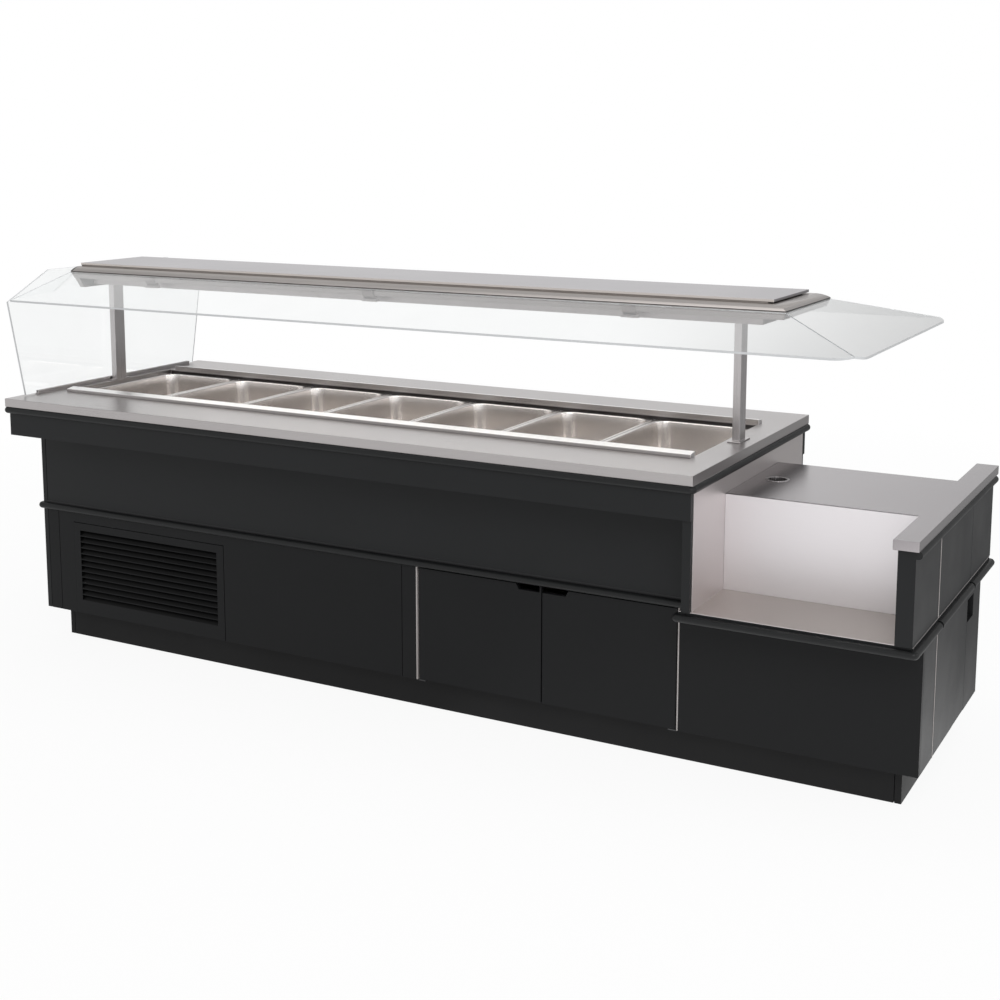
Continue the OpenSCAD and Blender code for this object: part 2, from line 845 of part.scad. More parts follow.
module module_bumper() {
    j = joint_gap;
    end_1 = -end_strip_y - j;
    color(black) for (s = [0, 1]) mirror([0, s, 0]) {
        bumper_run(deck_x, -deck_y, mid_z, 0, body_r_x - deck_x);
        bumper_corner(deck_x, -deck_y, mid_z, 180);
        bumper_corner(body_r_x, -deck_y, mid_z, 270);
        bumper_run(deck_x, -body_y, mid_z, 270, deck_y - body_y);
    }
    color(black) {
        side_bumper(body_r_x, -deck_y, end_1, mid_z, false, true);
        side_bumper(body_r_x, end_1 + 2 * j, end_joint_y - j, mid_z, false, true);
        side_bumper(body_r_x, end_joint_y + j, deck_y, mid_z, false, false);
    }
}

module arm_bumper() {
    color(black) side_bumper(body_r_x, -fin_d / 2, fin_d / 2, work_z - bumper_h, false, true);
}

// The tank's sheets: a floor with its spigot, four walls and the four strips that the pans hang on
module well_tank() {
    out = sheet_t;
    edge = 2 * sheet_t;
    low = tank_z - out;
    rim = seat_z - out;
    y = tank_y - seam;
    color(steel) {
        difference() {
            union() {
                slab([tank_x0 + seam, -y, low], [tank_x1 - seam, y, tank_z]);
                translate([drain_x, 0, tank_z - drain_l]) cylinder(r = drain_r, h = drain_l);
            }
            translate([drain_x, 0, tank_z - drain_l - over])
                cylinder(r = drain_r - drain_wall, h = drain_l + 2 * over);
        }
        for (s = [0, 1]) mirror([0, s, 0]) {
            slab([tank_x0 - out, tank_y, low], [tank_x1 + out, tank_y + out, rim - seam]);
            slab([well_x0 - edge, tank_y, rim], [well_x1 + edge, well_y + edge, seat_z]);
        }
        slab([tank_x0 - out, -y, low], [tank_x0, y, rim - seam]);
        slab([tank_x1, -y, low], [tank_x1 + out, y, rim - seam]);
        slab([well_x0 - edge, -y, rim], [tank_x0, y, seat_z]);
        slab([tank_x1, -y, rim], [well_x1 + edge, y, seat_z]);
    }
}

module tank_foam() {
    out = sheet_t;
    f = foam_t;
    color("wheat") difference() {
        slab([tank_x0 - out - f, -tank_y - out - f, tank_z - out - f],
             [tank_x1 + out + f, tank_y + out + f, seat_z - out]);
        slab([tank_x0 - out, -tank_y - out, tank_z - out],
             [tank_x1 + out, tank_y + out, seat_z]);
        translate([drain_x, 0, tank_z - drain_l])
            cylinder(r = drain_r + hose_room, h = drain_l);
    }
}

module divider_bars() {
    color(steel) for (i = [1:pan_count - 1])
        translate([pans_x0 + i * pan_pitch - pan_gap / 2, 0, 0])
            slab([-bar_w / 2, -tank_y, seat_z - bar_h], [bar_w / 2, tank_y, seat_z]);
}

module well_rails() {
    inner = well_y - sheet_t;
    run = well_x1 + lip_over - well_x0 - lip_set;
    color(steel) for (s = [0, 1]) mirror([0, s, 0])
        translate([well_x0 + lip_set, -inner, top_h]) rotate([90, 0, 90]) linear_extrude(run)
            polygon([[0, 0], [0, lip_h], [-lip_w, lip_low], [-lip_w, 0]]);
}

module pan(i) {
    color(steel) translate([pans_x0 + i * pan_pitch + pan_w / 2, 0, 0]) difference() {
        union() {
            translate([0, 0, seat_z]) linear_extrude(pan_t) round_rect(pan_w, pan_l, pan_flange_r);
            translate([0, 0, seat_z + pan_t - pan_h])
                linear_extrude(pan_h) round_rect(bowl_w, bowl_l, pan_r + pan_t);
        }
        translate([0, 0, seat_z + 2 * pan_t - pan_h]) linear_extrude(pan_h + over)
            round_rect(bowl_w - 2 * pan_t, bowl_l - 2 * pan_t, pan_r);
    }
}

// A post: a rectangular tube on a foot plate
module post(x, plate_w, top) {
    color(steel) translate([x, 0, 0]) difference() {
        union() {
            slab([-post_w / 2, -post_d / 2, top_h], [post_w / 2, post_d / 2, top]);
            slab([-plate_w / 2, -foot_d / 2, top_h], [plate_w / 2, foot_d / 2, top_h + foot_t]);
        }
        slab([-post_w / 2 + post_wall, -post_d / 2 + post_wall, top_h - over],
             [post_w / 2 - post_wall, post_d / 2 - post_wall, top + over]);
    }
}

// The hood's section: a sloped skirt under a flat top with rounded edges
module hood_section(x0, x1, inset) {
    top = hood_top - inset;
    hood_skirt(x0, x1, inset);
    translate([x0 + nose_w, widest_z]) square([x1 - x0 - 2 * nose_w, top - widest_z]);
    for (x = [x0, x1]) hood_nose(x, x == x0 ? 1 : -1, inset);
}

// The same seen from the front: the left end is upright above its skirt
module hood_long_section(x0, x1, inset) {
    top = hood_top - inset;
    hood_skirt(x0, x1, inset);
    translate([x0 + inset, widest_z]) square([x1 - nose_w - x0 - inset, top - widest_z]);
    hood_nose(x1, -1, inset);
}

module hood_skirt(x0, x1, inset) {
    bottom = skirt_z + inset;
    polygon([[x0 + skirt_set + inset, bottom], [x1 - skirt_set - inset, bottom],
             [x1 - inset, widest_z], [x0 + inset, widest_z]]);
}

module hood_nose(x, side, inset) {
    intersection() {
        translate([x + side * nose_w, hood_top - nose_r]) circle(r = nose_r - inset);
        translate([side > 0 ? x : x - nose_w, widest_z]) square([nose_w, nose_drop]);
    }
}

// The mitred solid inside both sections of the hood
module hood_solid(inset) {
    y = hood_d / 2;
    intersection() {
        translate([hood_x0, 0, 0]) rotate([90, 0, 90])
            linear_extrude(hood_l) hood_section(-y, y, inset);
        translate([0, y, 0]) rotate([90, 0, 0])
            linear_extrude(hood_d) hood_long_section(hood_x0, hood_x1, inset);
    }
}

// The board under the hood's left end: it carries on the slope of the skirt and its mitres
module hood_end_board() {
    top = skirt_z + hood_t / 2;
    low = skirt_z - drop_h;
    lean = skirt_set / skirt_h * (top - low);
    y = hood_d / 2 - skirt_set - over;
    x = hood_x0 + skirt_set + over;
    difference() {
        intersection() {
            translate([x, 0, 0]) rotate([90, 0, 90]) linear_extrude(lean + drop_t)
                polygon([[-y, top], [y, top], [y - lean, low], [-y + lean, low]]);
            translate([0, y, 0]) rotate([90, 0, 0]) linear_extrude(2 * y)
                polygon([[x, top], [x + drop_t, top], [x + lean + drop_t, low], [x + lean, low]]);
        }
        slab([post_l - post_w / 2, -post_d / 2, low - over], [post_l + post_w / 2, post_d / 2, top + over]);
    }
}

module hood_shell() {
    y = hood_d / 2;
    h = housing_d / 2;
    g = groove_h / 2;
    color(steel) {
        difference() {
            hood_solid(0);
            hood_solid(hood_t);
            slab([housing_x0, -h, skirt_z - over], [housing_x1, h, skirt_z + hood_t + over]);
            difference() {
                slab([hood_x0 - over, -y - over, widest_z - g], [hood_x1 + over, y + over, widest_z + g]);
                slab([hood_x0 + groove_t, -y + groove_t, widest_z - groove_h],
                     [hood_x1 - groove_t, y - groove_t, widest_z + groove_h]);
            }
        }
        hood_end_board();
    }
}

module hood_top_plate() {
    x0 = hood_x0 + plate_set_l;
    x1 = hood_x1 - plate_set_r;
    y = plate_d / 2;
    g = plate_groove_w;
    color(steel) {
        slab([x0, -y, canopy_h - plate_t], [x1, y, canopy_h]);
        slab([x0, -y + g, hood_top], [x1 - plate_gap_w, y - g, canopy_h - plate_t]);
    }
}

module light_housing() {
    y = housing_d / 2;
    top = skirt_z + hood_t;
    w = sheet_t;
    e = diffuser_edge;
    color(steel) difference() {
        slab([housing_x0, -y, housing_z], [housing_x1, y, top]);
        slab([housing_x0 + w, -y + w, housing_z + w], [housing_x1 - w, y - w, top - w]);
        slab([housing_x0 + e, -y + e, housing_z - over],
             [post_r - foot_w, y - e, housing_z + w + over]);
    }
}

module light_diffuser() {
    y = housing_d / 2;
    e = diffuser_edge - sheet_t;
    color("white") slab([housing_x0 + e, -y + e, housing_z + sheet_t],
                        [post_r - foot_w + sheet_t, y - e, housing_z + sheet_t + diffuser_t]);
}

// A clamp under the hood's edge: a strap up to the guard, a slanted fold and a lip
module guard_clamps() {
    y0 = hood_d / 2 + 2 * seat_gap;
    y1 = y0 + clamp_t;
    foot = y1 - skirt_set;
    inner = foot - clamp_run;
    lip = inner + clamp_lip;
    back = inner - clamp_lip;
    fold_z = skirt_z - clamp_fold;
    recess_z = fold_z - clamp_recess;
    low = recess_z - clamp_lip_h;
    under0 = guard_top - guard_v - seat_gap - guard_rise * (y0 - guard_in);
    under1 = guard_top - guard_v - seat_gap - guard_rise * (y1 - guard_in);
    color(steel) for (i = [0:clamp_count - 1], s = [0, 1]) mirror([0, s, 0])
        translate([left_x + clamp_x + i * clamp_pitch, 0, 0]) rotate([90, 0, 90]) {
            translate([0, 0, -clamp_strap_w / 2]) linear_extrude(clamp_strap_w)
                polygon([[-y0, under0], [-y1, under1], [-foot, skirt_z], [-inner, fold_z],
                         [-back, fold_z], [-back, skirt_z], [skirt_set - y0, skirt_z]]);
            translate([0, 0, -clamp_w / 2]) linear_extrude(clamp_w)
                polygon([[-inner, fold_z], [-inner, recess_z], [-lip, recess_z], [-lip, low],
                         [-back, low], [-back, fold_z]]);
        }
}

// A sloping slab that falls towards -Y, for the front guard
module guard_slab() {
    z_out = guard_top - guard_fall;
    rotate([90, 0, 90]) linear_extrude(guard_x1 - guard_x0)
        polygon([[-guard_in, guard_top], [-guard_out, z_out], [-guard_out, z_out - guard_v],
                 [-guard_in, guard_top - guard_v]]);
}

// The guards' outline seen from above, rounded at both right corners
module guard_plan() {
    w = guard_x1 - guard_x0;
    r = guard_r;
    translate([guard_x0, -guard_out]) {
        square([w - r, 2 * guard_out]);
        translate([0, r]) square([w, 2 * guard_out - 2 * r]);
        for (y = [r, 2 * guard_out - r]) translate([w - r, y]) circle(r = r);
    }
}

module guard_front() {
    corner = guard_in - (hood_x1 + guard_seat);
    cut = guard_gap / 2;
    color(clear) intersection() {
        translate([guard_x0, 0, 0]) guard_slab();
        linear_extrude(canopy_h) intersection() {
            guard_plan();
            polygon([[guard_x0, -guard_in], [guard_in - corner - cut, -guard_in],
                     [guard_out - corner - cut, -guard_out], [guard_x0, -guard_out]]);
        }
    }
}

module guard_back() {
    mirror([0, 1, 0]) guard_front();
}

module guard_right() {
    x_in = hood_x1 + guard_seat;
    cut = guard_gap / 2;
    z_out = guard_top - guard_fall;
    color(clear) intersection() {
        translate([0, guard_out, 0]) rotate([90, 0, 0]) linear_extrude(2 * guard_out)
            polygon([[x_in, guard_top], [guard_x1, z_out], [guard_x1, z_out - guard_v],
                     [x_in, guard_top - guard_v]]);
        linear_extrude(canopy_h) intersection() {
            guard_plan();
            polygon([[x_in, -guard_in + cut], [guard_x1, -guard_out + cut],
                     [guard_x1, guard_out - cut], [x_in, guard_in - cut]]);
        }
    }
}

module end_glass() {
    z0 = top_h + channel_t;
    wide = top_d / 2 - pane_set;
    z_wide = guard_top - guard_fall - guard_v;
    z_top = hood_top - joint_gap;
    color(clear) translate([pane_x0, 0, 0]) rotate([90, 0, 90]) linear_extrude(pane_t)
        polygon([[-pane_d / 2, z0], [-wide, z_wide], [-pane_top_d / 2, z_top], [pane_top_d / 2, z_top],
                 [wide, z_wide], [pane_d / 2, z0]]);
}

module end_channel() {
    y0 = -channel_front;
    y1 = channel_rear;
    top = top_h + channel_h;
    color(steel) difference() {
        slab([pane_x0 - channel_t, y0, top_h], [pane_x0 + pane_t + channel_t, y1, top]);
        slab([pane_x0, y0 - over, top_h + channel_t], [pane_x0 + pane_t, y1 + over, top + over]);
    }
}

module compressor() {
    z_body = deck_top + comp_foot_h + comp_rail_t;
    cap_r = comp_r - comp_rail_w / 2;
    color(black) translate([comp_x, 0, 0]) {
        translate([0, 0, z_body]) cylinder(r = comp_r, h = comp_h);
        translate([0, 0, z_body + comp_h]) cylinder(r = cap_r, h = comp_foot_h);
        for (s = [-1, 1]) {
            translate([0, s * comp_r / 2, 0])
                slab([-comp_r - comp_rail_w, -comp_rail_w / 2, z_body - comp_rail_t],
                     [comp_r + comp_rail_w, comp_rail_w / 2, z_body]);
            for (t = [-1, 1]) translate([t * (comp_r + comp_rail_w / 2), s * comp_r / 2, deck_top])
                cylinder(r = comp_foot_r, h = comp_foot_h);
        }
    }
}

module condenser() {
    plate = 2 * sheet_t;
    rows = 5;
    tube_r = coil_t / 9;
    pitch = coil_h / (rows + 1);
    color("silver") {
        slab([coil_x, coil_y, deck_top], [coil_x + coil_w, coil_y + coil_t, deck_top + coil_h]);
        for (i = [1:rows])
            translate([coil_x + coil_w, coil_y + coil_t / 2, deck_top + i * pitch]) rotate([90, 0, 0])
                rotate_extrude(angle = 90) translate([pitch / 4 + plate, 0]) circle(r = tube_r);
    }
}

module fan_shroud() {
    y = coil_y + coil_t;
    color(steel) difference() {
        union() {
            slab([coil_x, y, deck_top], [coil_x + coil_w, y + shroud_wall, deck_top + coil_h]);
            translate([fan_x, y, fan_z]) rotate([-90, 0, 0])
                cylinder(r = fan_r + shroud_l / 2, h = shroud_l);
        }
        translate([fan_x, y - over, fan_z]) rotate([-90, 0, 0])
            cylinder(r = fan_r + 3 * joint_gap, h = shroud_l + 2 * over);
    }
}

module fan_motor() {
    y = coil_y + coil_t + shroud_l;
    reach = fan_r + shroud_l / 4;
    color(black) {
        translate([fan_x, 0, fan_z])
            slab([-reach, y, -arm_bar_w / 2], [reach, y + shroud_wall, arm_bar_w / 2]);
        translate([fan_x, y + shroud_wall, fan_z]) rotate([-90, 0, 0]) cylinder(r = motor_r, h = motor_l);
        translate([fan_x, y - shaft_out - hub_l / 2, fan_z]) rotate([-90, 0, 0])
            cylinder(r = shaft_r, h = shaft_out + hub_l / 2 + shroud_wall);
    }
}

module condenser_fan() {
    root = hub_r - 3 * blade_t;
    color(light) translate([fan_x, fan_y - hub_l / 2, fan_z]) rotate([-90, 0, 0]) difference() {
        union() {
            cylinder(r = hub_r, h = hub_l);
            for (i = [0:fan_blades - 1]) rotate([0, 0, i * 360 / fan_blades])
                translate([root, 0, hub_l / 2]) rotate([blade_tilt, 0, 0])
                    translate([0, -blade_w / 2, -blade_t / 2]) cube([fan_r - root - blade_t, blade_w, blade_t]);
        }
        translate([0, 0, -over]) cylinder(r = shaft_r + fit_gap, h = hub_l + 2 * over);
    }
}

// Boards inside the body: two partitions, the cupboard's ceiling and its shelf
module bay_boards() {
    x0 = strip_1 - board_t - joint_gap;
    x1 = strip_2 + strip_w + joint_gap;
    shelf_z = deck_top + (mid_z - deck_top) * shelf_share;
    y = body_y - rail_w;
    color("gainsboro") {
        for (x = [x0, x1]) slab([x, -in_y, deck_top], [x + board_t, in_y, mid_z]);
        slab([x0, -y, mid_z], [x1 + board_t, y, mid_z + board_t]);
        slab([x0 + board_t, -y, shelf_z], [x1, in_y, shelf_z + board_t]);
    }
}

module control_box() {
    x0 = strip_1 - joint_gap;
    z0 = mid_z - control_h - 2 * foot_h;
    color(light) {
        slab([x0, control_y, z0], [x0 + control_t, control_y + control_l, z0 + control_h]);
        translate([x0 + control_t / 2, control_y, z0 + control_h / 2]) rotate([90, 0, 0])
            cylinder(r = knob_stem_r, h = knob_stem_l);
    }
}

module thermostat_knob() {
    x0 = strip_1 - joint_gap;
    z0 = mid_z - control_h - 2 * foot_h;
    color(black) translate([x0 + control_t / 2, control_y - joint_gap, z0 + control_h / 2])
        rotate([90, 0, 0]) difference() {
            union() {
                cylinder(r = knob_r, h = knob_h / 2);
                slab([-knob_r + joint_gap, -knob_grip_w / 2, 0], [knob_r - joint_gap, knob_grip_w / 2, knob_h]);
            }
            translate([0, 0, -over]) cylinder(r = knob_stem_r + fit_gap, h = knob_stem_l + over);
        }
}

plinth_boards();
levelling_feet();
bottom_deck();
front_lower_panels();
grille_panel();
edge_strips();
door_left();
door_right();
end_door();
hinge_brackets();
back_lower_panel();
end_lower_panels();
end_upper_panels();
mid_rails();
module_deck();
fin_wall();
module_lining();
bay_end_wall();
bay_back_panels();
worktop();
worktop_core();
port_ring();
apron_boards();
upper_body_panels();
counter_top();
top_bumper();
mid_bumper();
module_bumper();
arm_bumper();
well_tank();
tank_foam();
divider_bars();
well_rails();
pan(0);  // pan_1
pan(1);  // pan_2
pan(2);  // pan_3
pan(3);  // pan_4
pan(4);  // pan_5
pan(5);  // pan_6
pan(6);  // pan_7
post(post_l, foot_w_l, skirt_z);  // post_left
post(post_r, foot_w, housing_z);  // post_right
hood_shell();
hood_top_plate();
light_housing();
light_diffuser();
guard_clamps();
guard_front();
guard_back();
guard_right();
end_glass();
end_channel();
compressor();
condenser();
fan_shroud();
fan_motor();
condenser_fan();
bay_boards();
control_box();
thermostat_knob();
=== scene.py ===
"""Looks of the self-service buffet counter: finishes, drawn pans, plant, floor, light and camera."""

import math

import bmesh
import bpy
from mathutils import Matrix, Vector


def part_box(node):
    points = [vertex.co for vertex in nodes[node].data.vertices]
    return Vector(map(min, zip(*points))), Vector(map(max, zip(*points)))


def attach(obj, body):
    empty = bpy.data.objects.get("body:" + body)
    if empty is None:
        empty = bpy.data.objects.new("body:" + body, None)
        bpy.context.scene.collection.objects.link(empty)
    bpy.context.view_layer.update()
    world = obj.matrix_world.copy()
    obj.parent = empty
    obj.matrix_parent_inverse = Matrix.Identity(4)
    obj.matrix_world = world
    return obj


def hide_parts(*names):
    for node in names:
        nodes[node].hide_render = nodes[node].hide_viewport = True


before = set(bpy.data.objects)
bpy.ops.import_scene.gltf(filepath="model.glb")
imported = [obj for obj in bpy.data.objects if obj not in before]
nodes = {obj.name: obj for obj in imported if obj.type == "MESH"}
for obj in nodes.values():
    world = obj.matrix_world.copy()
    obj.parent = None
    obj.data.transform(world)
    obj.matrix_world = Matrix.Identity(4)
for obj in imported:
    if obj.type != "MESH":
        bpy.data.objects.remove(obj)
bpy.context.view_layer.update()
MM = 0.001
CREASE_DEG = 32  # edges sharper than this are broken
WELD_GAP = 0.02 * MM

# Surface colours, linear
DARK = (0.0115, 0.0122, 0.013)
DARK_LOW = (0.0088, 0.0091, 0.0097)
DARK_PLINTH = (0.0085, 0.0085, 0.0088)
BUMPER = (0.009, 0.0095, 0.01)
STEEL = (0.47, 0.45, 0.452)
TOP_STEEL = (0.41, 0.39, 0.388)
WORKTOP_STEEL = (0.32, 0.3, 0.308)
PAN_STEEL = (0.74, 0.71, 0.69)
HOOD_STEEL = (0.36, 0.335, 0.32)
PLATE_STEEL = (0.35, 0.335, 0.35)
# painted light: the hood top plate's front and back edge faces, lighter and warmer than its top
PLATE_EDGE_LIT = (0.55, 0.51, 0.48)
# painted shade: the hood's skirt below its widest line
SKIRT_STEEL_SHADED = (0.27, 0.25, 0.245)
HOUSING_STEEL = (0.31, 0.285, 0.285)
# painted highlight: the well rails, all but their front and back faces, much lighter than the other steel
RAIL_STEEL_LIT = (0.86, 0.85, 0.85)
BAY_STEEL = (0.72, 0.695, 0.71)
LINING_STEEL = (0.62, 0.58, 0.575)
# painted shade on the lining's floor
FLOOR_STEEL_SHADED = (0.42, 0.385, 0.36)
SHADE = (0.02, 0.02, 0.022)
# painted shade, near black, on the well's long folds
WELL_FOLD_SHADE = (0.05, 0.047, 0.047)
# painted shade: the well rails' front and back faces
RAIL_FACE_SHADED = (0.42, 0.4, 0.395)
LOUVRE_SHADE = (0.0012, 0.0012, 0.0013)
STRIP = (0.42, 0.39, 0.38)
GLASS_EDGE = (0.6, 0.61, 0.62)
GLASS = (0.975, 0.985, 0.985)
WHITE_BOARD = (0.66, 0.65, 0.62)
PLY = (0.5, 0.34, 0.19)
FOAM = (0.66, 0.55, 0.3)
OPAL = (0.82, 0.82, 0.8)
BLACK_METAL = (0.012, 0.012, 0.013)
FIN_METAL = (0.55, 0.55, 0.56)
FAN_PLASTIC = (0.03, 0.03, 0.032)
GREY_PLASTIC = (0.3, 0.3, 0.31)
COPPER = (0.62, 0.3, 0.17)


# Materials

def new_material(name):
    """A material, its node tree and its Principled shader."""
    mat = bpy.data.materials.new(name)
    mat.use_nodes = True
    tree = mat.node_tree
    shader = tree.nodes["Principled BSDF"]
    return mat, tree, shader


def put(tree, socket, value):
    """Sets a socket to a number, or links another node's output to it."""
    if isinstance(value, (int, float)):
        socket.default_value = value
    else:
        tree.links.new(value, socket)


def maths(tree, operation, *values):
    """The result of a maths node on numbers and other nodes' outputs."""
    node = tree.nodes.new("ShaderNodeMath")
    node.operation = operation
    for socket, value in zip(node.inputs, values):
        put(tree, socket, value)
    return node.outputs[0]


def ranged(tree, value, start, end, low=0.0, high=1.0):
    """The low value before the start, the high one past the end, and a slope between them."""
    node = tree.nodes.new("ShaderNodeMapRange")
    for socket, number in (("From Min", start), ("From Max", end), ("To Min", low), ("To Max", high)):
        node.inputs[socket].default_value = number
    tree.links.new(value, node.inputs["Value"])
    return node.outputs["Result"]


def mixed(tree, share, first, second):
    """The first shader where the share is 0, and the second where it is 1."""
    mix = tree.nodes.new("ShaderNodeMixShader")
    for socket, source in zip(mix.inputs, (share, first, second)):
        tree.links.new(source, socket)
    return mix.outputs["Shader"]


def axis_of(tree, output, axis):
    """One axis of the object's coordinates or normal."""
    coord = tree.nodes.new("ShaderNodeTexCoord")
    split = tree.nodes.new("ShaderNodeSeparateXYZ")
    tree.links.new(coord.outputs[output], split.inputs["Vector"])
    return split.outputs[axis]


def facing(tree, axis):
    """1 on faces that look along an axis, either way."""
    return ranged(tree, maths(tree, "ABSOLUTE", axis_of(tree, "Normal", axis)), 0.6, 0.8)


def coordinates(tree, scale):
    """Object coordinates, stretched per axis."""
    coord = tree.nodes.new("ShaderNodeTexCoord")
    mapping = tree.nodes.new("ShaderNodeMapping")
    mapping.inputs["Scale"].default_value = scale
    tree.links.new(coord.outputs["Object"], mapping.inputs["Vector"])
    return mapping.outputs["Vector"]


def noise(tree, vector, scale, detail=4.0, rough=0.55):
    """Soft noise about 0.5."""
    node = tree.nodes.new("ShaderNodeTexNoise")
    node.inputs["Scale"].default_value = scale
    node.inputs["Detail"].default_value = detail
    node.inputs["Roughness"].default_value = rough
    tree.links.new(vector, node.inputs["Vector"])
    return node.outputs["Fac"]


def spread(tree, value, low, high):
    """Noise, most of it between 0.33 and 0.67, stretched onto low to high."""
    return ranged(tree, value, 0.33, 0.67, low, high)


def tint(tree, value, colour, share):
    """The colour made darker and lighter by a share as the value runs from 0 to 1."""
    ramp = tree.nodes.new("ShaderNodeValToRGB")
    ramp.color_ramp.elements[0].position = 0.3
    ramp.color_ramp.elements[1].position = 0.7
    ramp.color_ramp.elements[0].color = [c * (1 - share) for c in colour] + [1]
    ramp.color_ramp.elements[1].color = [min(1, c * (1 + share)) for c in colour] + [1]
    tree.links.new(value, ramp.inputs["Fac"])
    return ramp.outputs["Color"]


def bump(tree, shader, value, strength, distance):
    """Raises a shader's surface by a value."""
    node = tree.nodes.new("ShaderNodeBump")
    node.inputs["Strength"].default_value = strength
    node.inputs["Distance"].default_value = distance
    tree.links.new(value, node.inputs["Height"])
    tree.links.new(node.outputs["Normal"], shader.inputs["Normal"])


def laminate(name, colour, rough, specular, grain=0.1):
    """Smooth board facing: faint clouding, a fine pebble and slightly uneven gloss."""
    mat, tree, shader = new_material(name)
    vector = coordinates(tree, (1, 1, 1))
    cloud = noise(tree, vector, 3.5)
    pebble = noise(tree, vector, 900, 2.0)
    tree.links.new(tint(tree, cloud, colour, grain), shader.inputs["Base Color"])
    tree.links.new(spread(tree, cloud, rough - 0.05, rough + 0.06), shader.inputs["Roughness"])
    shader.inputs["Specular IOR Level"].default_value = specular
    bump(tree, shader, pebble, 0.12, 0.0004)
    return mat


def brushed(name, colour, rough, along="X", grain=0.05, depth=0.05):
    """Brushed stainless steel with its scratches along one axis."""
    mat, tree, shader = new_material(name)
    stretch = [0.6 if axis == along else 110 for axis in "XYZ"]
    scratch = noise(tree, coordinates(tree, stretch), 14, 3.0, 0.6)
    cloud = noise(tree, coordinates(tree, (1, 1, 1)), 2.2, 3.0)
    streaks = maths(tree, "MULTIPLY_ADD", scratch, 0.55, maths(tree, "MULTIPLY", cloud, 0.45))
    shader.inputs["Metallic"].default_value = 1.0
    tree.links.new(tint(tree, streaks, colour, grain), shader.inputs["Base Color"])
    tree.links.new(spread(tree, streaks, rough - 0.04, rough + 0.05), shader.inputs["Roughness"])
    bump(tree, shader, scratch, depth, 0.0003)
    return mat


def second_colour(mat, mask, colour):
    """Gives a material a second colour where the mask is 1."""
    tree = mat.node_tree
    base = tree.nodes["Principled BSDF"].inputs["Base Color"]
    mix = tree.nodes.new("ShaderNodeMixRGB")
    mix.inputs["Color2"].default_value = (*colour, 1)
    tree.links.new(base.links[0].from_socket, mix.inputs["Color1"])
    tree.links.new(mask, mix.inputs["Fac"])
    tree.links.new(mix.outputs["Color"], base)
    return mat


def louvred(name, colour, rough, specular, front_y, depth):
    """Board facing whose faces behind the front plane get painted shade, near black, as in the shaded
    gaps between louvre blades.
    """
    mat = laminate(name, colour, rough, specular)
    tree = mat.node_tree
    behind = ranged(tree, axis_of(tree, "Object", "Y"), front_y + depth * 0.4, front_y + depth)
    return second_colour(mat, behind, LOUVRE_SHADE)


def moulded(name, colour, rough, specular=0.5, coat=0.0):
    """Moulded or extruded plastic, or a painted skin: fine orange peel and uneven gloss."""
    mat, tree, shader = new_material(name)
    vector = coordinates(tree, (1, 1, 1))
    cloud = noise(tree, vector, 9)
    peel = noise(tree, vector, 260, 2.0)
    tree.links.new(tint(tree, cloud, colour, 0.08), shader.inputs["Base Color"])
    tree.links.new(spread(tree, cloud, rough - 0.04, rough + 0.05), shader.inputs["Roughness"])
    shader.inputs["Specular IOR Level"].default_value = specular
    shader.inputs["Coat Weight"].default_value = coat
    bump(tree, shader, peel, 0.06, 0.0004)
    return mat


def clear_glass(name, face_axis):
    """Clear sheet glass with ground edges, a little clouded by wiping, that lets lamplight through.

    The sheet's broad faces look along the given axis; faces that look another way are its edges.
    """
    mat, tree, shader = new_material(name)
    vector = coordinates(tree, (1, 1, 1))
    smear = noise(tree, vector, 5.0, 5.0, 0.6)
    tree.links.new(tint(tree, smear, GLASS, 0.012), shader.inputs["Base Color"])
    tree.links.new(spread(tree, smear, 0.0, 0.02), shader.inputs["Roughness"])
    shader.inputs["Transmission Weight"].default_value = 1.0
    shader.inputs["IOR"].default_value = 1.45
    edge = tree.nodes.new("ShaderNodeBsdfPrincipled")
    grind = noise(tree, vector, 700, 2.0)
    tree.links.new(tint(tree, grind, GLASS_EDGE, 0.06), edge.inputs["Base Color"])
    edge.inputs["Roughness"].default_value = 0.35
    bump(tree, edge, grind, 0.2, 0.0003)
    body = mixed(tree, facing(tree, face_axis), edge.outputs["BSDF"], shader.outputs["BSDF"])
    paths = tree.nodes.new("ShaderNodeLightPath")
    clear = tree.nodes.new("ShaderNodeBsdfTransparent")
    clear.inputs["Color"].default_value = (0.94, 0.96, 0.96, 1)
    sheet = mixed(tree, paths.outputs["Is Shadow Ray"], body, clear.outputs["BSDF"])
    tree.links.new(sheet, tree.nodes["Material Output"].inputs["Surface"])
    return mat


def plywood(name, colour):
    """Raw plywood: long grain along the board and thin plies through its thickness."""
    mat, tree, shader = new_material(name)
    grain = noise(tree, coordinates(tree, (2, 30, 320)), 3.0, 5.0, 0.65)
    tree.links.new(tint(tree, grain, colour, 0.35), shader.inputs["Base Color"])
    tree.links.new(spread(tree, grain, 0.55, 0.75), shader.inputs["Roughness"])
    bump(tree, shader, grain, 0.2, 0.0005)
    return mat


def foamed(name, colour):
    """Rigid foam with open cells cut through."""
    mat, tree, shader = new_material(name)
    cells = tree.nodes.new("ShaderNodeTexVoronoi")
    cells.inputs["Scale"].default_value = 420
    tree.links.new(coordinates(tree, (1, 1, 1)), cells.inputs["Vector"])
    tree.links.new(tint(tree, cells.outputs["Distance"], colour, 0.2), shader.inputs["Base Color"])
    shader.inputs["Roughness"].default_value = 0.85
    bump(tree, shader, cells.outputs["Distance"], 0.5, 0.0008)
    return mat


